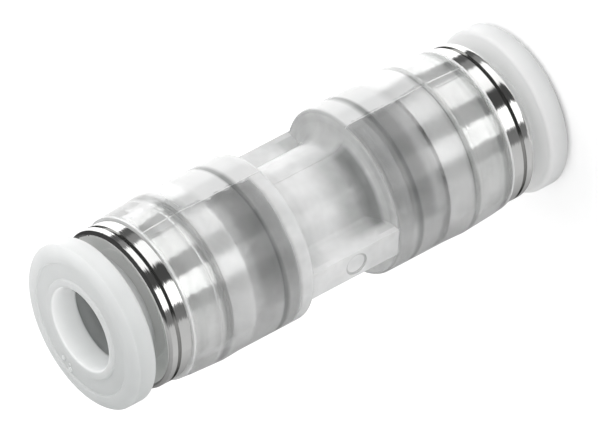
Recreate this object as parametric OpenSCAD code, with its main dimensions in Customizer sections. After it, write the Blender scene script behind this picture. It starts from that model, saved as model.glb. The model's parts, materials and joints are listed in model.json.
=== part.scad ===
// Straight push-in fitting that joins two plastic tubes of one size.
// Millimetres. Z runs along the tubes, and Z = 0 is the middle of the fitting.
// Each end is built upwards from the middle, and the lower end is its mirror image.

/* [Tube] */
// Outer diameter of the tubes
tube_d = 8; // [6:0.5:8.4]
// Gap around the tube in the housing's seat
seat_gap = 0.06; // [0.02:0.01:0.1]
// Gap around the tube at the seal and the claw tips, drawn as with a tube in place
grip_gap = 0.04; // [0.02:0.01:0.06]
// Gap around the tube in the release ring
guide_gap = 0.17; // [0.08:0.01:0.4]

/* [Housing] */
// Length of the housing
housing_l = 37.5; // [36.5:0.1:40]
// Largest diameter of the two barrels
bulge_d = 16.9; // [16.6:0.1:18]
// Diameter of the barrels beside the shoulders
barrel_d = 16.7; // [16:0.1:17.4]
// Diameter of the barrels at the open ends
mouth_d = 16.24; // [15.9:0.02:16.8]
// Length of the steeper taper at the open ends
mouth_l = 1.3; // [0.5:0.1:2.5]
// How far each barrel narrows between its largest diameter and that taper
draft = 0.2; // [0:0.05:0.4]
// Distance from the open end to the largest diameter
bulge_depth = 4.7; // [3.5:0.1:6]
// Distance between the two shoulders
waist_l = 9.8; // [7:0.1:11]
// Diameter of the waist
waist_d = 11.4; // [10.5:0.1:12.5]
// Inner radius where the waist meets a shoulder
waist_fillet = 1.8; // [0.5:0.1:2.3]
// Outer rounding of the shoulders
shoulder_r = 0.4; // [0.2:0.1:1.2]
// Length over which the barrels swell to their largest diameter
swell_l = 2; // [1:0.1:3]
// Width of the fine parting line of the mould
parting_w = 0.14; // [0.08:0.02:0.2]
// Height of that line
parting_h = 0.04; // [0.02:0.01:0.06]
// Thickness of the two flat webs
web_t = 3.05; // [2:0.05:4]
// Width across both webs
web_w = 16.4; // [14:0.1:16.6]
// Inner radius where a web meets the waist
web_fillet = 0.9; // [0.3:0.1:1.5]
// Diameter of the round moulding mark on each web
mark_d = 2.35; // [1.5:0.05:2.8]
// Depth of that mark
mark_depth = 0.12; // [0.05:0.01:0.3]
// Diameter of the flow passage between the tube stops
passage_d = 6; // [4.6:0.1:6]
// Length of the passage from one tube stop to the other
passage_l = 6.4; // [5:0.1:8]

/* [Seal] */
// Distance from the middle to the floor of the seal chamber
chamber_z = 7.5; // [7:0.1:8]
// Diameter of the seal chamber
chamber_d = 12.4; // [11.4:0.1:12.8]
// Depth of the seal chamber
chamber_l = 3.9; // [3.6:0.1:4.2]
// Width of the groove that opens the seal's lip to the pressure
lip_groove_w = 0.7; // [0.4:0.1:1]
// Depth of that groove
lip_groove_l = 1.7; // [1:0.1:2.2]
// Thickness of the sealing lip beside the groove
lip_t = 0.75; // [0.6:0.05:0.9]

/* [Claw ring] */
// Thickness of the claw ring's sheet
claw_t = 0.35; // [0.25:0.05:0.4]
// Slope of the fingers, in degrees
claw_slope = 30; // [25:1:35]
// Number of fingers
claw_count = 12; // [8:1:16]
// Width of the slits between the fingers
claw_slit_w = 0.5; // [0.3:0.05:0.7]
// Width of the flat rim
claw_rim_w = 0.85; // [0.7:0.05:1]

/* [Steel sleeve] */
// Outer diameter of the sleeve where it shows
sleeve_d = 15.8; // [15.2:0.1:16.2]
// Length of the sleeve outside the housing
sleeve_head_l = 2.65; // [2.2:0.05:3.2]
// Diameter of the sleeve's shank in the housing
shank_d = 14.5; // [14.2:0.1:14.7]
// Length of the shank
shank_l = 4.35; // [4:0.05:4.6]
// Rounding of the front edge
sleeve_edge_r = 0.45; // [0.2:0.05:0.6]
// Distance from the front face to the middle of the ring groove
ring_groove_depth = 1.2; // [0.9:0.05:1.7]
// Width of the ring groove
ring_groove_w = 0.4; // [0.2:0.05:0.6]
// How deep the ring groove is cut
ring_groove_cut = 0.35; // [0.1:0.05:0.6]
// Height of the bead that snaps into the housing
bead_h = 0.16; // [0.08:0.02:0.24]
// Length of that bead
bead_l = 0.8; // [0.4:0.1:1.2]

/* [Release ring] */
// How far the flange stands out past the sleeve
flange_overhang = 0.35; // [0.1:0.05:0.8]
// Thickness of the flange
flange_t = 2.5; // [1.8:0.05:2.8]
// Radius of the flange's domed front edge
flange_front_r = 1.3; // [0.6:0.1:1.6]
// How far that arc would run on past the rim, which cuts it off
flange_front_cut = 0.2; // [0:0.05:0.4]
// Rounding of the flange's back edge
flange_back_r = 0.35; // [0.1:0.05:0.6]
// Diameter of the shallow round recess in the front face
recess_d = 13.4; // [12:0.1:13.8]
// Depth of that recess
recess_depth = 0.15; // [0.1:0.05:0.5]
// Width of the raised lip around the tube's entry
entry_lip_w = 0.75; // [0.5:0.05:0.9]
// Rounding of the tube's entry
entry_r = 0.25; // [0.1:0.05:0.6]
// Length of the part of the hole that guides the tube
guide_l = 2.75; // [2:0.05:3.5]
// How far the wall of the hole steps back behind that part
guide_relief = 0.2; // [0.1:0.05:0.4]
// Outer diameter of the collar that reaches the claws
collar_d = 11; // [10.6:0.1:11.2]
// How far the release ring can be pushed in
stroke = 1.6; // [1:0.05:1.6]
// Height of the catch at the collar's tip
catch_h = 0.55; // [0.4:0.05:0.6]
// Length of that catch
catch_l = 1; // [0.8:0.05:1.2]
// Number of slits that let the catch spring in
collar_slits = 4; // [3:1:6]
// Width of those slits
collar_slit_w = 0.9; // [0.6:0.1:1.2]
// Length of those slits
collar_slit_l = 4.4; // [3:0.1:5.2]

/* [Hidden] */
$fn = 96;

// Clearances between the pieces
press_gap = 0.02;    // between pieces that sit still in each other
running_gap = 0.08;  // around what turns or slides
end_play = 0.05;     // along the axis, between what moves and its stop
over = 1;            // how far a cut runs past the surface it opens

// Radii
tube_r = tube_d / 2;
seat_r = tube_r + seat_gap;
grip_r = tube_r + grip_gap;
guide_r = tube_r + guide_gap;
chamber_r = chamber_d / 2;
shank_r = shank_d / 2;
socket_r = shank_r + press_gap;
collar_r = collar_d / 2;
hole_r = collar_r + running_gap;
catch_r = collar_r + catch_h;
catch_room_r = catch_r + running_gap;
shoulder_h = (barrel_d - waist_d) / 2 - shoulder_r;  // the flat height of a shoulder

// Heights above the middle, from the tube stop outwards
stop_z = passage_l / 2;
shoulder_z = waist_l / 2;
socket_z = chamber_z + chamber_l;
mouth_z = housing_l / 2;
shank_z = mouth_z - shank_l;
claw_z = shank_z - end_play - claw_t;
support_top_z = claw_z - end_play;
face_z = mouth_z + press_gap + sleeve_head_l;
flange_z = face_z + stroke + end_play;
front_z = flange_z + flange_t;

// The claw ring: a flat rim, and fingers that lean inwards from the bend
claw_rim_r = shank_r - running_gap;
bend_r = claw_rim_r - claw_rim_w;
claw_drop = (bend_r - grip_r) * tan(claw_slope);
slit_root_r = bend_r - claw_slit_w / 2;

// The collar's tip ends just above the fingers when the ring is pushed fully in
tip_drop = (bend_r - collar_r) * tan(claw_slope);
tip_z = claw_z + claw_t - tip_drop + end_play + stroke;
shelf_z = tip_z + catch_l + end_play;

// The quarter that rounds a square corner at [0, 0] of a section filled towards [-r, -r]
module corner(r) {
    difference() {
        translate([-r, -r]) square(r + over);
        translate([-r, -r]) circle(r);
    }
}

// The quarter that fills an inner corner at [0, 0] towards [r, r]
module fillet(r) {
    difference() {
        square(r);
        translate([r, r]) circle(r);
    }
}

module ring(outer_r, inner_r, low_z, high_z) {
    translate([0, 0, low_z]) difference() {
        cylinder(h = high_z - low_z, r = outer_r);
        translate([0, 0, -over]) cylinder(h = high_z - low_z + 2 * over, r = inner_r);
    }
}

// Upper half of the housing's outer form, as a section
module housing_section() {
    barrel_r = barrel_d / 2;
    difference() {
        union() {
            square([waist_d / 2, shoulder_z + shoulder_r]);
            translate([waist_d / 2, shoulder_z]) mirror([0, 1]) fillet(min(waist_fillet, shoulder_h));
            polygon([
                [0, shoulder_z],
                [barrel_r, shoulder_z],
                [barrel_r, mouth_z - bulge_depth - swell_l],
                [bulge_d / 2, mouth_z - bulge_depth],
                [bulge_d / 2 - draft, mouth_z - mouth_l],
                [mouth_d / 2, mouth_z],
                [0, mouth_z]
            ]);
        }
        translate([barrel_r, shoulder_z]) mirror([0, 1]) corner(shoulder_r);
    }
}

// Webs with their fillets against the waist, as a plan
module web_plan() {
    waist_r = waist_d / 2;
    side_y = web_t / 2 + web_fillet;
    side_x = sqrt(pow(waist_r + web_fillet, 2) - side_y * side_y);
    touch = waist_r / (waist_r + web_fillet);
    difference() {
        union() {
            square([web_w, web_t], center = true);
            for (x = [-1, 1], y = [-1, 1])
                polygon([
                    [0, 0],
                    [x * side_x, 0],
                    [x * side_x, y * side_y],
                    [x * side_x * touch, y * side_y * touch]
                ]);
        }
        for (x = [-1, 1], y = [-1, 1])
            translate([x * side_x, y * side_y]) circle(web_fillet);
    }
}

// The mould parts in the YZ plane, square to the webs
module parting_line() {
    intersection() {
        cube([parting_w, bulge_d + 2 * over, housing_l], center = true);
        for (side = [0, 1])
            mirror([0, 0, side]) rotate_extrude() translate([parting_h, 0]) housing_section();
    }
}

module housing() {
    color("gainsboro") difference() {
        union() {
            for (side = [0, 1])
                mirror([0, 0, side]) rotate_extrude() housing_section();
            translate([0, 0, -shoulder_z - shoulder_r])
                linear_extrude(waist_l + 2 * shoulder_r) web_plan();
            parting_line();
        }
        cylinder(h = passage_l + 2 * over, d = passage_d, center = true);
        for (side = [0, 1])
            mirror([0, 0, side]) housing_bore();
        for (x = [-1, 1])
            translate([x * web_w / 2, 0, 0])
                rotate([0, 90, 0]) cylinder(h = 2 * mark_depth, d = mark_d, center = true);
    }
}

// What one end of the housing is hollowed out by
module housing_bore() {
    lead_in = 0.5;
    translate([0, 0, stop_z]) cylinder(h = mouth_z, r = seat_r);
    translate([0, 0, chamber_z - lead_in])
        cylinder(h = lead_in, r1 = seat_r, r2 = seat_r + lead_in);
    translate([0, 0, chamber_z]) cylinder(h = mouth_z, r = chamber_r);
    translate([0, 0, socket_z]) cylinder(h = mouth_z, r = socket_r);
    translate([0, 0, shank_z - press_gap])
        cylinder(h = bead_l + 2 * press_gap, r = socket_r + bead_h);
}

// Lip seal: the groove opens towards the tube stop, so pressure spreads the lip
module seal_ring() {
    heel_gap = 0.25;
    low_z = chamber_z + press_gap;
    high_z = socket_z - press_gap;
    lip_z = low_z + lip_groove_l / 2;
    groove_r = grip_r + lip_t;
    rotate_extrude() difference() {
        polygon([
            [grip_r + lip_t / 2, low_z],
            [groove_r, low_z],
            [groove_r, low_z + lip_groove_l],
            [groove_r + lip_groove_w, low_z + lip_groove_l],
            [groove_r + lip_groove_w, low_z],
            [chamber_r - press_gap, low_z],
            [chamber_r - press_gap, high_z],
            [grip_r + heel_gap, high_z],
            [grip_r + heel_gap, lip_z + lip_groove_l],
            [grip_r, lip_z + lip_groove_w / 2],
            [grip_r, lip_z - lip_groove_w / 2]
        ]);
        translate([groove_r + lip_groove_w / 2, low_z + lip_groove_l])
            circle(lip_groove_w / 2);
    }
}

// Support ring: closes the seal chamber and leaves a funnel for the fingers to spring into
module support_ring() {
    bore_gap = 0.2;
    difference() {
        ring(socket_r - press_gap, tube_r + bore_gap, socket_z, support_top_z);
        translate([0, 0, support_top_z - (bend_r - tube_r)])
            cylinder(h = bend_r - tube_r, r1 = tube_r, r2 = bend_r);
        translate([0, 0, support_top_z]) cylinder(h = over, r = bend_r);
    }
}

// Claw ring: one stamped ring of spring steel, with slits that part its fingers
module claw_ring() {
    difference() {
        translate([0, 0, claw_z]) rotate_extrude() polygon([
            [grip_r, -claw_drop],
            [bend_r, 0],
            [claw_rim_r, 0],
            [claw_rim_r, claw_t],
            [bend_r, claw_t],
            [grip_r, claw_t - claw_drop]
        ]);
        for (i = [0:claw_count - 1])
            rotate([0, 0, (i + 0.5) * 360 / claw_count])
                translate([0, 0, claw_z - claw_drop - over]) {
                    translate([0, -claw_slit_w / 2, 0])
                        cube([slit_root_r, claw_slit_w, claw_drop + claw_t + 2 * over]);
                    translate([slit_root_r, 0, 0])
                        cylinder(h = claw_drop + claw_t + 2 * over, d = claw_slit_w * 1.5);
                }
    }
}

// Steel sleeve: its shank holds the claw ring down, and its head carries the release ring
module sleeve() {
    head_r = sleeve_d / 2;
    groove_z = face_z - ring_groove_depth;
    hole_edge = 0.3;
    rotate_extrude() difference() {
        union() {
            translate([hole_r, shank_z]) square([shank_r - hole_r, face_z - shank_z]);
            translate([hole_r, face_z - sleeve_head_l]) square([head_r - hole_r, sleeve_head_l]);
            polygon([
                [hole_r, shank_z],
                [shank_r, shank_z],
                [shank_r + bead_h, shank_z + bead_l / 2],
                [shank_r + bead_h, shank_z + bead_l],
                [hole_r, shank_z + bead_l]
            ]);
        }
        translate([head_r, face_z]) corner(sleeve_edge_r);
        translate([hole_r, face_z]) mirror([1, 0]) corner(hole_edge);
        translate([head_r - ring_groove_cut, groove_z - ring_groove_w / 2])
            square([ring_groove_cut + over, ring_groove_w]);
        translate([hole_r - over, shank_z - over])
            square([catch_room_r - hole_r + over, shelf_z - shank_z + over]);
    }
}

// Release ring: a flange to push on, and a slit collar whose catch stays in the sleeve
module release_ring() {
    flange_r = sleeve_d / 2 + flange_overhang;
    recess_inner_r = guide_r + entry_lip_w;
    difference() {
        rotate_extrude() difference() {
            union() {
                translate([guide_r, tip_z]) square([collar_r - guide_r, front_z - tip_z]);
                translate([guide_r, flange_z]) square([flange_r - guide_r, flange_t]);
                polygon([
                    [guide_r, tip_z],
                    [collar_r, tip_z],
                    [catch_r, tip_z + catch_l / 2],
                    [catch_r, tip_z + catch_l],
                    [guide_r, tip_z + catch_l]
                ]);
            }
            translate([flange_r + flange_front_cut, front_z]) corner(flange_front_r);
            translate([flange_r, flange_z]) mirror([0, 1]) corner(flange_back_r);
            translate([guide_r, front_z]) mirror([1, 0]) corner(entry_r);
            translate([guide_r - over, tip_z - over])
                square([over + guide_relief, front_z - guide_l - tip_z + over]);
            polygon([
                [recess_inner_r, front_z + over],
                [recess_inner_r, front_z],
                [recess_inner_r + recess_depth, front_z - recess_depth],
                [recess_d / 2 - recess_depth, front_z - recess_depth],
                [recess_d / 2, front_z],
                [recess_d / 2, front_z + over]
            ]);
        }
        for (i = [0:collar_slits - 1])
            rotate([0, 0, (i + 0.5) * 360 / collar_slits])
                translate([0, -collar_slit_w / 2, tip_z - over])
                    cube([catch_r + over, collar_slit_w, collar_slit_l + over]);
    }
}

module upper_seal_ring() { color("dimgray") seal_ring(); }
module upper_support_ring() { color("white") support_ring(); }
module upper_claw_ring() { color("goldenrod") claw_ring(); }
module upper_sleeve() { color("slategray") sleeve(); }
module upper_release_ring() { color("lightsteelblue") release_ring(); }

module lower_seal_ring() { color("dimgray") mirror([0, 0, 1]) seal_ring(); }
module lower_support_ring() { color("white") mirror([0, 0, 1]) support_ring(); }
module lower_claw_ring() { color("goldenrod") mirror([0, 0, 1]) claw_ring(); }
module lower_sleeve() { color("slategray") mirror([0, 0, 1]) sleeve(); }
module lower_release_ring() { color("lightsteelblue") mirror([0, 0, 1]) release_ring(); }

housing();
upper_seal_ring();
upper_support_ring();
upper_claw_ring();
upper_sleeve();
upper_release_ring();
lower_seal_ring();
lower_support_ring();
lower_claw_ring();
lower_sleeve();
lower_release_ring();
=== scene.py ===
import json
import math

import bmesh
import bpy
from mathutils import Matrix, Vector, noise


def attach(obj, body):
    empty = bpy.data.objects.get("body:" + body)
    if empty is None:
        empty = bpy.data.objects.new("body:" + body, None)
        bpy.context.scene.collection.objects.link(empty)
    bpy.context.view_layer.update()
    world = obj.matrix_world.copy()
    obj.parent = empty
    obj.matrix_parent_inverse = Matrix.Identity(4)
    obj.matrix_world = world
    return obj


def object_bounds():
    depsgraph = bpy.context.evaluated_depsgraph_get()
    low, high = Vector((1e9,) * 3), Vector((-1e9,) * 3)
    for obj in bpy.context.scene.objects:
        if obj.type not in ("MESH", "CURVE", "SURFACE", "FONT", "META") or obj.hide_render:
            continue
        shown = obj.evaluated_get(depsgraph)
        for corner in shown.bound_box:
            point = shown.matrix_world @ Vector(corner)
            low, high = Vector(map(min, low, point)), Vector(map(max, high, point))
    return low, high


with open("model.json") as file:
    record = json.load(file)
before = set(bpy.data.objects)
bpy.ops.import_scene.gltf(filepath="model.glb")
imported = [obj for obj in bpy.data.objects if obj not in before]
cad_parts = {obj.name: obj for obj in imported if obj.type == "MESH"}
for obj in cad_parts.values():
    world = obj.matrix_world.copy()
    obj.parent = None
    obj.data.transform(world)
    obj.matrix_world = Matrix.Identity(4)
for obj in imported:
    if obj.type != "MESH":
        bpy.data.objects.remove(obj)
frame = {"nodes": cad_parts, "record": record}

# The photograph's view: how far the line of sight is off the fitting's axis, where the
# axis points on the picture, and how far the webs are turned towards the camera
IMAGE_W, IMAGE_H = 598, 436
VIEW_OFF_AXIS = math.radians(62.0)
AXIS_ON_IMAGE = math.radians(207.62)
WEB_TURN = math.radians(39.0)
CAMERA_DISTANCE = 0.9
CLIP_NEAR, CLIP_FAR = 0.05, 10.0
PIXELS_PER_METRE = 10900.0
MIDDLE_ON_IMAGE = (300.7, 214.5)
SENSOR_W = 36.0

# The camera's side of the fitting, anticlockwise from +X when seen from above
CAMERA_AZIMUTH = math.pi / 2 - WEB_TURN

# Light bounces many times in the housing and its haze, which look too dark with fewer
MAX_BOUNCES = 32
TRANSMISSION_BOUNCES = 24
VOLUME_BOUNCES = 16

FLOOR_SIZE = 1.6
WHITE = (1, 1, 1, 1)
MM_PER_METRE = 1000.0

# Sockets of the Mix node when it mixes colours
MIX_FIRST, MIX_SECOND, MIX_RESULT = 6, 7, 2


def save_bounds():
    """Brings the view layer up to date; it writes nothing."""
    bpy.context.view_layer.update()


def render_settings():
    """Standard colours, and the bounces that the clear plastic needs."""
    scene = bpy.context.scene
    scene.view_settings.view_transform = "Standard"
    scene.cycles.max_bounces = MAX_BOUNCES
    scene.cycles.transmission_bounces = TRANSMISSION_BOUNCES
    scene.cycles.volume_bounces = VOLUME_BOUNCES


# Node helpers

class Nodes:
    """Short calls for building one node tree."""

    def __init__(self, tree):
        self.tree = tree
        self.tree.nodes.clear()

    def add(self, kind, inputs=None, **settings):
        """Adds a node. Inputs are plain values or the output sockets of other nodes."""
        node = self.tree.nodes.new(kind)
        for name, value in settings.items():
            setattr(node, name, value)
        for name, value in (inputs or {}).items():
            if isinstance(value, bpy.types.NodeSocket):
                self.tree.links.new(value, node.inputs[name])
            else:
                node.inputs[name].default_value = value
        return node

    def math(self, operation, a, b=0.0, clamp=False):
        return self.add("ShaderNodeMath", {0: a, 1: b},
                        operation=operation, use_clamp=clamp).outputs[0]

    def product(self, first, *others):
        for other in others:
            first = self.math("MULTIPLY", first, other)
        return first

    def largest(self, first, *others):
        for other in others:
            first = self.math("MAXIMUM", first, other)
        return first

    def above(self, value, limit, blur):
        """1 where the value is over the limit, 0 where it is under, with a ramp between."""
        difference = self.math("SUBTRACT", value, limit)
        return self.math("ADD", self.math("DIVIDE", difference, blur), 0.5, clamp=True)

    def to_range(self, value, low, high):
        """Maps 0..1 to low..high."""
        return self.add("ShaderNodeMapRange", {
            "Value": value, "To Min": low, "To Max": high}).outputs["Result"]

    def vector_math(self, operation, inputs, output="Vector"):
        return self.add("ShaderNodeVectorMath", inputs, operation=operation).outputs[output]

    def place(self):
        """Object coordinates, which are those of the shared frame, in metres."""
        return self.add("ShaderNodeTexCoord").outputs["Object"]

    def axes(self, vector):
        return self.add("ShaderNodeSeparateXYZ", {"Vector": vector}).outputs

    def radius(self, axes):
        """Distance from the fitting's axis, in centimetres."""
        squares = self.math("ADD", self.product(axes["X"], axes["X"]),
                            self.product(axes["Y"], axes["Y"]))
        return self.product(self.math("SQRT", squares), 100.0)

    def from_middle(self, axes):
        """Distance along the axis from the fitting's middle, in millimetres."""
        return self.product(self.math("ABSOLUTE", axes["Z"]), MM_PER_METRE)

    def noise(self, vector, scale, detail=3.0, roughness=0.5):
        return self.add("ShaderNodeTexNoise", {
            "Vector": vector, "Scale": scale, "Detail": detail, "Roughness": roughness,
        }).outputs["Fac"]

    def ramp(self, value, stops):
        """A colour ramp. Stops are (place, grey) or (place, (r, g, b))."""
        node = self.add("ShaderNodeValToRGB", {"Fac": value})
        elements = node.color_ramp.elements
        while len(elements) > 1:
            elements.remove(elements[-1])
        for index, (place, colour) in enumerate(stops):
            element = elements[0] if index == 0 else elements.new(place)
            element.position = place
            rgb = colour if isinstance(colour, tuple) else (colour, colour, colour)
            element.color = (*rgb, 1.0)
        return node.outputs["Color"]

    def ramp_by_mm(self, value, low, high, stops):
        """A colour ramp whose stops are given in millimetres between low and high."""
        share = self.math("DIVIDE", self.math("SUBTRACT", value, low), high - low)
        return self.ramp(share, [((place - low) / (high - low), colour)
                                 for place, colour in stops])

    def mix_colour(self, share, first, second, blend="MIX"):
        """Mixes two colours, which are sockets or (r, g, b, 1)."""
        mixed = self.add("ShaderNodeMix", {
            "Factor": share, MIX_FIRST: first, MIX_SECOND: second,
        }, data_type="RGBA", blend_type=blend)
        return mixed.outputs[MIX_RESULT]

    def bump(self, height, strength, distance):
        return self.add("ShaderNodeBump", {
            "Height": height, "Strength": strength, "Distance": distance,
        }).outputs["Normal"]

    def lathe_marks(self, marks, tilt):
        """A normal that leans to and fro around the axis from one fine ring to the next."""
        normal = self.add("ShaderNodeNewGeometry").outputs["Normal"]
        around = self.vector_math("CROSS_PRODUCT", {0: (0.0, 0.0, 1.0), 1: normal})
        lean = self.vector_math("SCALE", {
            0: around, "Scale": self.to_range(marks, -tilt / 2, tilt / 2)})
        leaning = self.vector_math("ADD", {0: normal, 1: lean})
        return self.vector_math("NORMALIZE", {0: leaning})


def new_material(name):
    material = bpy.data.materials.new(name)
    material.use_nodes = True
    return material, Nodes(material.node_tree)


def finish_surface(nodes, shader, volume=None):
    output = nodes.add("ShaderNodeOutputMaterial", {"Surface": shader.outputs[0]})
    if volume is not None:
        nodes.tree.links.new(volume.outputs[0], output.inputs["Volume"])


def cool_grey(value):
    """A grey with the plastics' faint cast of green and blue."""
    return (value, value + 0.01, value + 0.008)


# The housing

# Half the width of the ridge on the mould's parting line, in millimetres
RIDGE_HALF_W = 1 / 12


class HousingPoint:
    """Where a shaded point lies on the housing: millimetres, but its radius in centimetres.

    The webs' ends face across, and the mould parts where across is 0.
    """

    def __init__(self, nodes):
        self.place = nodes.place()
        axes = nodes.axes(self.place)
        self.across = nodes.product(axes["X"], MM_PER_METRE)
        self.side = nodes.product(axes["Y"], MM_PER_METRE)
        self.along = nodes.product(axes["Z"], MM_PER_METRE)
        self.from_middle = nodes.from_middle(axes)
        self.radius = nodes.radius(axes)


def blasted_half(nodes, point):
    """One half of the mould was blasted more than the other, up to a ragged edge."""
    wander = nodes.to_range(nodes.noise(point.place, 900.0, 3.0), -0.8, 0.8)
    ragged = nodes.math("ADD", point.across, wander)
    barrels = nodes.ramp_by_mm(point.from_middle, 0.0, 20.0, [
        (4.8, 0.0), (5.0, 0.66), (13.2, 0.66), (14.8, 0.0)])
    return nodes.product(nodes.above(0.0, ragged, 0.5), barrels)


def parting_ridge(nodes, point):
    """The mould's parting line is a fine frosted ridge on the barrels."""
    beside = nodes.math("DIVIDE", nodes.math("ABSOLUTE", point.across), RIDGE_HALF_W, clamp=True)
    return nodes.product(nodes.math("SUBTRACT", 1.0, beside),
                         nodes.above(point.radius, 0.8, 0.01))


def skin_milk(nodes, point):
    """How milky the housing's skin is: the waist, webs and shoulders, but not the bores."""
    clouds = nodes.to_range(nodes.noise(point.place, 420.0, 2.0), -0.18, 0.18)
    milk = nodes.ramp_by_mm(point.along, -20.0, 20.0, [
        (-18.6, 0.55), (-18.4, 0.02), (-17.6, 0.02), (-17.2, 0.14), (-14.6, 0.14),
        (-14.0, 0.16), (-12.2, 0.16), (-10.6, 0.03), (-5.1, 0.07), (-4.9, 0.5), (-3.2, 0.55),
        (0.0, 0.7), (3.2, 0.75), (5.0, 0.7), (6.2, 0.6), (6.9, 0.07), (10.6, 0.03),
        (12.2, 0.2), (14.0, 0.2), (14.6, 0.14), (17.2, 0.14), (17.6, 0.02), (18.4, 0.02),
        (18.6, 0.55)])
    milk = nodes.largest(nodes.math("ADD", milk, clouds), blasted_half(nodes, point), 0.02)
    bore = nodes.ramp_by_mm(point.from_middle, 0.0, 20.0, [(4.8, 0.45), (5.2, 0.76)])
    milk = nodes.product(milk, nodes.above(point.radius, bore, 0.01))
    return nodes.largest(milk, parting_ridge(nodes, point))


def painted_chamber_shade(nodes, point):
    """Painted shade: the grey of the seal chambers seen through the skin, on the camera's side of
    the half that wasn't blasted.
    """
    window = nodes.product(nodes.above(point.across, 0.4, 1.0),
                           nodes.above(point.side, 2.0, 3.0))
    chambers = nodes.ramp_by_mm(point.along, -12.0, 12.0, [
        (-10.7, 0.0), (-9.8, 0.13), (-9.0, 0.36), (-6.6, 0.39), (-5.2, 0.43), (-5.05, 0.0),
        (6.5, 0.0), (6.9, 0.45), (8.6, 0.45), (10.5, 0.3), (11.2, 0.25), (12.0, 0.0)])
    mottle = nodes.to_range(nodes.noise(point.place, 380.0, 3.0, 0.6), 0.5, 1.4)
    return nodes.product(chambers, mottle, window)


def painted_edge_shade(nodes, point):
    """Painted shade: dark lines all round the barrels, one row for each.

    They are the lower mouth, the lower sleeve's end, the lower chamber's edge, the lower
    barrel's rim, the upper chamber's edge and the upper sleeve's end.
    """
    return nodes.ramp_by_mm(point.along, -20.0, 20.0, [
        (-18.6, 0.0), (-18.45, 0.5), (-17.6, 0.5), (-17.4, 0.0),
        (-14.6, 0.0), (-14.35, 0.75), (-13.9, 0.75), (-13.7, 0.0),
        (-7.9, 0.0), (-7.7, 0.78), (-7.4, 0.78), (-6.9, 0.0),
        (-5.15, 0.0), (-5.05, 0.5), (-4.9, 0.5), (-4.85, 0.0),
        (7.7, 0.0), (8.15, 0.78), (8.45, 0.78), (8.65, 0.0),
        (14.3, 0.0), (14.6, 0.55), (15.2, 0.55), (15.5, 0.0)])


def painted_waist_shade(nodes, point):
    """Painted shade at the waist's ends, and most of all in the hollow at its lower end."""
    ends = nodes.ramp_by_mm(point.along, -12.0, 12.0, [
        (-5.0, 0.0), (-4.9, 0.26), (-3.3, 0.26), (-2.8, 0.0),
        (2.4, 0.0), (2.9, 0.1), (4.8, 0.1), (4.9, 0.0)])
    ends = nodes.product(ends, nodes.above(0.775, point.radius, 0.01))

    # The painted shade of the hollow lies in the quarters where across and side have the same
    # sign
    square_mm = nodes.product(point.radius, point.radius, 100.0)
    corner = nodes.math("DIVIDE", nodes.product(point.across, point.side), square_mm)
    hollow = nodes.ramp_by_mm(point.along, -12.0, 12.0, [
        (-4.85, 0.0), (-4.4, 0.8), (-3.9, 0.82), (-3.3, 0.6), (-2.6, 0.46), (-1.6, 0.4),
        (0.4, 0.0)])
    hollow = nodes.product(hollow, nodes.above(corner, -0.03, 0.3),
                           nodes.above(0.7, point.radius, 0.1))
    return nodes.largest(ends, hollow)


def painted_mark_shade(nodes, point):
    """Painted shade: a dark edge round the round mark on each web's end."""
    squares = nodes.math("ADD", nodes.product(point.side, point.side),
                         nodes.product(point.along, point.along))
    away = nodes.math("SQRT", squares)
    return nodes.product(nodes.above(away, 0.98, 0.06), nodes.above(1.18, away, 0.06), 0.4)


def painted_skin_shade(nodes, point):
    """Painted shade in the housing's colour, where it gathers the dark of the seals behind it and
    the shade at edges and in the hollow.
    """
    outer = nodes.largest(painted_chamber_shade(nodes, point), painted_edge_shade(nodes, point),
                          painted_mark_shade(nodes, point))
    outer = nodes.product(outer, nodes.above(point.radius, 0.75, 0.01))
    return nodes.largest(outer, painted_waist_shade(nodes, point))


def support_gloss(nodes, point):
    """Where the barrels shine over the support rings."""
    zones = nodes.ramp_by_mm(point.along, -20.0, 20.0, [
        (-14.4, 0.0), (-13.6, 1.0), (-10.8, 1.0), (-9.8, 0.0),
        (11.4, 0.0), (12.2, 1.0), (14.0, 1.0), (14.6, 0.0)])
    return nodes.product(nodes.above(point.radius, 0.72, 0.01), zones)


def clear_polypropylene():
    """The housing: a clear skin from a polished mould, over plastic with a milky haze in it."""
    material, nodes = new_material("clear_polypropylene")
    point = HousingPoint(nodes)
    flow = nodes.noise(point.place, 260.0, 4.0)
    clear = nodes.ramp(flow, [(0.3, (0.96, 0.97, 0.968)), (0.7, (1.0, 1.0, 1.0))])
    skin = nodes.add("ShaderNodeBsdfPrincipled", {
        # Painted shade: the skin's colour is darkened towards this grey where the shade is
        # painted
        "Base Color": nodes.mix_colour(painted_skin_shade(nodes, point), clear, (0.2, 0.21, 0.205, 1.0)),
        "Roughness": nodes.ramp_by_mm(point.from_middle, 0.0, 20.0, [
            (0.0, 0.16), (12.0, 0.14), (14.4, 0.04)]),
        "IOR": 1.49,
        "Transmission Weight": nodes.math("SUBTRACT", 1.0, skin_milk(nodes, point)),
        "Coat Weight": support_gloss(nodes, point),
        "Coat IOR": 2.45,
        "Coat Roughness": 0.22,
        "Normal": nodes.bump(flow, 0.12, 0.0004),
    })
    haze = nodes.add("ShaderNodeVolumeScatter", {
        "Color": (0.997, 1.0, 0.999, 1.0),
        "Density": 380.0,
        "Anisotropy": 0.3,
    })
    finish_surface(nodes, skin, haze)
    return material


# The release rings

# The pips on the upper release ring's face, where the plastic was let in: place and radius
GATE_PIPS = [
    ((-0.00243, -0.00549, 0.02542), 0.00024),
    ((-0.00142, -0.00614, 0.02542), 0.00026),
    ((-0.00152, -0.00562, 0.02542), 0.00013),
]
# Their height and their unevenness, as shares of their radius, and how fine the lumps are
PIP_HEIGHT, PIP_UNEVENNESS = 0.48, 0.35
PIP_LUMP_SCALE = 6000.0


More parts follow.
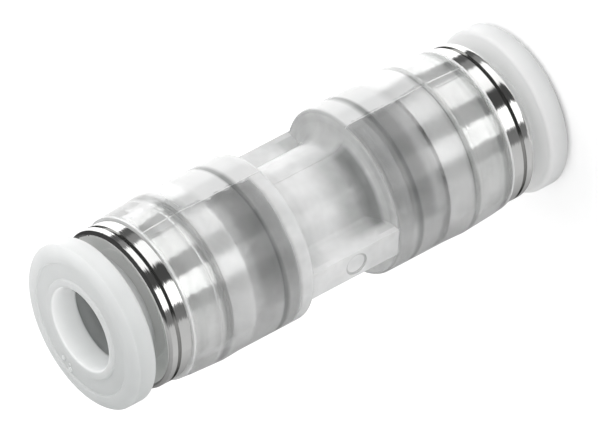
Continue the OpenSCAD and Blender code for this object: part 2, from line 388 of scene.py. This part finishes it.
def pip_distance(nodes, place):
    """Distance from the nearest gate pip's edge, in millimetres."""
    nearest = 1.0
    for spot, size in GATE_PIPS:
        away = nodes.vector_math("DISTANCE", {0: place, 1: spot}, "Value")
        nearest = nodes.math("MINIMUM", nearest, nodes.math("SUBTRACT", away, size))
    return nodes.product(nearest, MM_PER_METRE)


def ring_colour(nodes, place, axes, depth, inside):
    """Painted light and shade: lighter towards the flange's back and darkest at the front face;
    in the hole, light in the flange's wall and darker in the sleeve, where little light gets in.
    """
    face = nodes.ramp_by_mm(depth, 23.0, 26.0, [
        (23.0, cool_grey(0.97)), (24.167, cool_grey(0.88)), (25.067, cool_grey(0.78)),
        (25.533, cool_grey(0.7))])
    hole = nodes.ramp(nodes.above(depth, 22.83, 0.1), [
        (0.0, cool_grey(0.53)), (1.0, (0.98, 0.985, 0.984))])
    colour = nodes.mix_colour(inside, face, hole)

    # Painted shade: the upper ring is a little darker on the side away from the stronger soft
    # light, towards +x and -y
    painted_lower_right_shade = nodes.math("SUBTRACT", nodes.product(axes["X"], 50.0),
                             nodes.product(axes["Y"], 40.0))
    painted_lower_right_shade = nodes.product(nodes.above(painted_lower_right_shade, 0.0, 1.2),
                                nodes.above(axes["Z"], 0.0, 0.01))
    colour = nodes.mix_colour(painted_lower_right_shade, colour, (*cool_grey(0.74), 1.0), "MULTIPLY")
    clouds = nodes.ramp(nodes.noise(place, 330.0, 3.0), [(0.3, 0.96), (0.7, 1.0)])
    return nodes.mix_colour(1.0, colour, clouds, "MULTIPLY")


def painted_ring_glow(nodes, depth, radius, inside):
    """Painted light: a faint glow that stands in for light coming through the flange to its back,
    and into the hole's mouth.
    """
    back = nodes.product(nodes.above(23.3, depth, 0.2), nodes.above(0.74, radius, 0.08))
    return nodes.product(nodes.largest(back, inside), nodes.above(depth, 22.9, 0.1), 0.11)


def frosted_polypropylene():
    """The release rings: white plastic from a blasted mould, which lets light in."""
    material, nodes = new_material("frosted_polypropylene")
    place = nodes.place()
    axes = nodes.axes(place)
    depth = nodes.from_middle(axes)
    radius = nodes.radius(axes)
    grain = nodes.noise(place, 5200.0, 2.0)

    # The hole counts as inside, up to a limit that is narrower at the flange
    limit = nodes.math("SUBTRACT", 0.446, nodes.product(nodes.above(depth, 22.9, 0.1), 0.02))
    inside = nodes.above(limit, radius, 0.015)
    colour = ring_colour(nodes, place, axes, depth, inside)

    # Painted highlight: the gate pips glow faintly, and painted shade darkens the face around
    # them
    nearest = pip_distance(nodes, place)
    painted_pip_glint = nodes.above(0.02, nearest, 0.04)
    painted_halo_shade = nodes.product(nodes.math("SUBTRACT", nodes.above(0.25, nearest, 0.3), painted_pip_glint), 0.6)
    shader = nodes.add("ShaderNodeBsdfPrincipled", {
        "Base Color": nodes.mix_colour(painted_halo_shade, colour, (*cool_grey(0.56), 1.0)),
        # Painted light: the faint glow at the flange's back, in the hole's mouth and on the gate
        # pips
        "Emission Color": (0.97, 1.0, 0.99, 1.0),
        "Emission Strength": nodes.largest(painted_ring_glow(nodes, depth, radius, inside),
                                           nodes.product(painted_pip_glint, 0.3)),
        "Roughness": nodes.to_range(grain, 0.3, 0.42),
        "IOR": 1.49,
        "Subsurface Weight": 1.0,
        "Subsurface Radius": (1.0, 1.0, 1.0),
        "Subsurface Scale": 0.003,
        "Normal": nodes.bump(grain, 0.6, 0.000015),
    })
    finish_surface(nodes, shader)
    return material


def gate_pips(material):
    """Small uneven domes on the upper release ring's face."""
    form = bmesh.new()
    for spot, size in GATE_PIPS:
        shape = Matrix.Translation(spot) @ Matrix.Diagonal((size, size, PIP_HEIGHT * size, 1.0))
        dome = bmesh.ops.create_uvsphere(form, u_segments=24, v_segments=14, radius=1.0,
                                         matrix=shape)
        for vertex in dome["verts"]:
            outwards = vertex.co - Vector(spot)
            lump = noise.noise(vertex.co * PIP_LUMP_SCALE)
            vertex.co += PIP_UNEVENNESS * lump * outwards
    mesh = bpy.data.meshes.new("upper_gate_pips")
    form.to_mesh(mesh)
    form.free()
    mesh.shade_smooth()
    mesh.materials.append(material)
    pips = bpy.data.objects.new("upper_gate_pips", mesh)
    bpy.context.scene.collection.objects.link(pips)
    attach(pips, "upper_release")


# The other materials

def natural_polypropylene():
    """The support rings: milky plastic with a soft gloss."""
    material, nodes = new_material("natural_polypropylene")
    cloud = nodes.noise(nodes.place(), 420.0, 3.0)
    shader = nodes.add("ShaderNodeBsdfPrincipled", {
        "Base Color": nodes.ramp(cloud, [(0.3, (0.93, 0.935, 0.93)), (0.7, (0.98, 0.98, 0.975))]),
        "Roughness": nodes.to_range(cloud, 0.22, 0.34),
        "IOR": 2.0,
        "Coat Weight": 1.0,
        "Coat IOR": 3.2,
        "Coat Roughness": 0.3,
        "Normal": nodes.bump(cloud, 0.2, 0.0001),
    })
    finish_surface(nodes, shader)
    return material


def polished_steel():
    """The sleeves: turned and polished, with the lathe's fine rings left in the gloss."""
    material, nodes = new_material("polished_steel")
    place = nodes.place()
    rings = nodes.vector_math("MULTIPLY", {0: place, 1: (40.0, 40.0, 9000.0)})
    turned = nodes.noise(rings, 1.0, 3.0, 0.6)
    cloud = nodes.noise(place, 300.0)

    # Painted shade: the flat ends, facing along the axis, are darker than the polished sides
    normal = nodes.add("ShaderNodeNewGeometry").outputs["Normal"]
    upright = nodes.axes(normal)["Z"]
    end = nodes.above(nodes.math("ABSOLUTE", upright), 0.9, 0.05)
    side = nodes.ramp(cloud, [(0.3, (0.8, 0.8, 0.79)), (0.7, (0.86, 0.86, 0.85))])
    shader = nodes.add("ShaderNodeBsdfPrincipled", {
        "Base Color": nodes.mix_colour(end, side, (0.58, 0.58, 0.57, 1.0)),
        "Metallic": 1.0,
        "Roughness": nodes.to_range(turned, 0.05, 0.14),
        "Normal": nodes.lathe_marks(turned, 0.16),
    })
    finish_surface(nodes, shader)
    return material


def spring_steel():
    """The claw rings: stamped strip, satin across its rolling marks."""
    material, nodes = new_material("spring_steel")
    strip = nodes.vector_math("MULTIPLY", {0: nodes.place(), 1: (500.0, 9000.0, 500.0)})
    rolled = nodes.noise(strip, 1.0, 3.0)
    shader = nodes.add("ShaderNodeBsdfPrincipled", {
        "Base Color": nodes.ramp(rolled, [(0.3, (0.6, 0.6, 0.59)), (0.7, (0.7, 0.7, 0.69))]),
        "Metallic": 1.0,
        "Roughness": nodes.to_range(rolled, 0.24, 0.4),
        "Normal": nodes.bump(rolled, 0.15, 0.00003),
    })
    finish_surface(nodes, shader)
    return material


def seal_rubber():
    """The seal rings: moulded black rubber with a faint bloom."""
    material, nodes = new_material("seal_rubber")
    place = nodes.place()
    bloom = nodes.noise(place, 500.0, 4.0)

    # Painted light: the seal is lightened towards the socket, where the milky plastic spreads the
    # support ring's light over it, save its end in the chamber
    painted_socket_light = nodes.ramp_by_mm(nodes.from_middle(nodes.axes(place)), 0.0, 20.0, [
        (8.0, 0.0), (8.6, 0.08), (9.4, 0.13), (9.8, 0.3), (10.4, 1.0)])
    painted_socket_light = nodes.product(painted_socket_light, nodes.to_range(bloom, 0.5, 1.0))
    shader = nodes.add("ShaderNodeBsdfPrincipled", {
        "Base Color": nodes.ramp(painted_socket_light, [(0.0, 0.02), (1.0, 1.0)]),
        "Roughness": nodes.to_range(bloom, 0.25, 0.45),
        "Normal": nodes.bump(bloom, 0.2, 0.0001),
    })
    finish_surface(nodes, shader)
    return material


def dress_nodes():
    """Gives each CAD node the material of its slot in the record, and returns them all."""
    makers = {
        "clear_polypropylene": clear_polypropylene,
        "frosted_polypropylene": frosted_polypropylene,
        "natural_polypropylene": natural_polypropylene,
        "polished_steel": polished_steel,
        "spring_steel": spring_steel,
        "seal_rubber": seal_rubber,
    }
    materials = {slot: make() for slot, make in makers.items()}
    for part in frame["record"]["subparts"]:
        node = frame["nodes"][part["node"]]
        for slot in node.material_slots:
            slot.material = materials[part["material_slot"]]
    return materials


# The studio

# What polished surfaces see low down, by azimuth in degrees from the camera's side
# towards the photograph's lower right: softboxes, and the black cards between them
LOW_BANDS = [
    (-180, 1.1), (-125, 1.6), (-107, 1.6), (-104, 0.1), (-90, 0.12), (-86, 0.26), (-73, 0.28),
    (-70, 1.2), (-50, 1.2), (-42, 1.15), (-33, 1.15), (-29, 0.07), (-3, 0.07), (0, 1.6),
    (27, 1.6), (30, 0.17), (50, 0.2), (54, 0.58), (95, 0.62), (125, 0.45), (150, 0.32),
    (180, 0.4),
]
# What they see higher up: a black card on the camera's side
HIGH_BANDS = [
    (-180, 0.2), (-165, 0.2), (-155, 0.05), (40, 0.05), (55, 0.5), (165, 0.2), (180, 0.2),
]
BRIGHTEST = 2.0
# Where the low bands give way to the high ones, in degrees above the horizon
LOW_END, HIGH_START = -20, -14

# Strength of the soft light from the photograph's lower right, and from its upper left
SOFT_RIGHT, SOFT_LEFT = 0.62, 1.45
# How much stronger the bands and the soft light are through the clear plastic
THROUGH_LOW, THROUGH_HIGH = 1.55, 2.0


def studio_bands(nodes, azimuth, bands):
    stops = [((angle + 180) / 360, grey / BRIGHTEST) for angle, grey in bands]
    return nodes.ramp(azimuth, stops)


def studio_world():
    """A plain white surround, a soft light, and softboxes and cards for gloss."""
    world = bpy.data.worlds.new("studio")
    bpy.context.scene.world = world
    world.use_nodes = True
    nodes = Nodes(world.node_tree)
    direction = nodes.add("ShaderNodeTexCoord").outputs["Generated"]
    axes = nodes.axes(nodes.add("ShaderNodeVectorRotate", {
        "Vector": direction, "Angle": -CAMERA_AZIMUTH,
    }, rotation_type="Z_AXIS").outputs["Vector"])

    # The lower right of the photograph is clockwise from the camera, seen from above
    turn = nodes.math("ARCTAN2", nodes.product(axes["Y"], -1.0), axes["X"])
    azimuth = nodes.math("ADD", nodes.math("DIVIDE", turn, 2 * math.pi), 0.5)
    low = studio_bands(nodes, azimuth, LOW_BANDS)
    high = studio_bands(nodes, azimuth, HIGH_BANDS)
    higher = nodes.add("ShaderNodeMapRange", {
        "Value": axes["Z"],
        "From Min": math.sin(math.radians(LOW_END)),
        "From Max": math.sin(math.radians(HIGH_START)),
    }).outputs["Result"]
    soft = nodes.add("ShaderNodeMapRange", {
        "Value": axes["Y"], "From Min": -1.0, "To Min": SOFT_RIGHT, "To Max": SOFT_LEFT,
    }).outputs["Result"]

    def background(colour, strength):
        return nodes.add("ShaderNodeBackground", {
            "Color": colour, "Strength": strength}).outputs[0]

    def mix(share, first, second):
        return nodes.add("ShaderNodeMixShader", {
            "Fac": share, 1: first, 2: second}).outputs[0]

    rays = nodes.add("ShaderNodeLightPath").outputs
    plain = background(WHITE, soft)
    gloss = mix(higher, background(low, BRIGHTEST), background(high, BRIGHTEST))
    through = mix(higher, background(low, THROUGH_LOW * BRIGHTEST),
                  background(WHITE, nodes.product(soft, THROUGH_HIGH)))
    reflected = mix(rays["Is Transmission Ray"], gloss, through)
    lit = mix(rays["Is Glossy Ray"], plain, reflected)
    seen = mix(rays["Is Camera Ray"], lit, background(WHITE, 1.0))
    nodes.add("ShaderNodeOutputWorld", {"Surface": seen})


def floor_material():
    """Pale studio paper, lifted to white for the camera, with its shadow kept."""
    material, nodes = new_material("studio_floor")
    fibre = nodes.noise(nodes.place(), 900.0, 4.0)
    paper = nodes.add("ShaderNodeBsdfDiffuse", {
        "Color": nodes.ramp(fibre, [(0.3, 0.84), (0.7, 0.86)])})
    to_camera = nodes.add("ShaderNodeLightPath").outputs["Is Camera Ray"]
    lift = nodes.add("ShaderNodeEmission", {
        "Color": WHITE, "Strength": nodes.product(to_camera, 0.3)})
    both = nodes.add("ShaderNodeAddShader", {0: paper.outputs[0], 1: lift.outputs[0]})
    finish_surface(nodes, both)
    return material


def studio_floor(cad_box):
    """The floor under the fitting's lower end, kept out of the steel's reflections."""
    low_z = cad_box[0][2]
    half = FLOOR_SIZE / 2
    corners = [(x, y, low_z)
               for x, y in ((-half, -half), (half, -half), (half, half), (-half, half))]
    mesh = bpy.data.meshes.new("studio_floor")
    mesh.from_pydata(corners, [], [(0, 1, 2, 3)])
    mesh.materials.append(floor_material())
    floor = bpy.data.objects.new("studio_floor", mesh)
    bpy.context.scene.collection.objects.link(floor)
    floor.visible_glossy = False
    floor.visible_transmission = False


def photo_camera():
    """A long lens that sees the fitting as the photograph does."""
    along = Vector((math.sin(VIEW_OFF_AXIS) * math.cos(AXIS_ON_IMAGE),
                    math.sin(VIEW_OFF_AXIS) * math.sin(AXIS_ON_IMAGE),
                    math.cos(VIEW_OFF_AXIS)))
    across = Vector((-math.sin(AXIS_ON_IMAGE), math.cos(AXIS_ON_IMAGE), 0.0))
    towards = along.cross(across)
    web = math.cos(WEB_TURN) * across + math.sin(WEB_TURN) * towards
    side = along.cross(web)
    to_world = Matrix((web, side, along))

    data = bpy.data.cameras.new("photo_camera")
    data.sensor_width = SENSOR_W
    data.lens = SENSOR_W * PIXELS_PER_METRE * CAMERA_DISTANCE / IMAGE_W
    data.clip_start, data.clip_end = CLIP_NEAR, CLIP_FAR
    camera = bpy.data.objects.new("photo_camera", data)
    bpy.context.scene.collection.objects.link(camera)
    off_x = (IMAGE_W / 2 - MIDDLE_ON_IMAGE[0]) / PIXELS_PER_METRE
    off_y = (MIDDLE_ON_IMAGE[1] - IMAGE_H / 2) / PIXELS_PER_METRE
    place = to_world @ Vector((off_x, off_y, CAMERA_DISTANCE))
    camera.matrix_world = Matrix.Translation(place) @ to_world.to_4x4()
    bpy.context.scene.camera = camera


cad_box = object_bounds()
save_bounds()

render_settings()
materials = dress_nodes()
gate_pips(materials["frosted_polypropylene"])
studio_world()
studio_floor(cad_box)
photo_camera()

save_bounds()
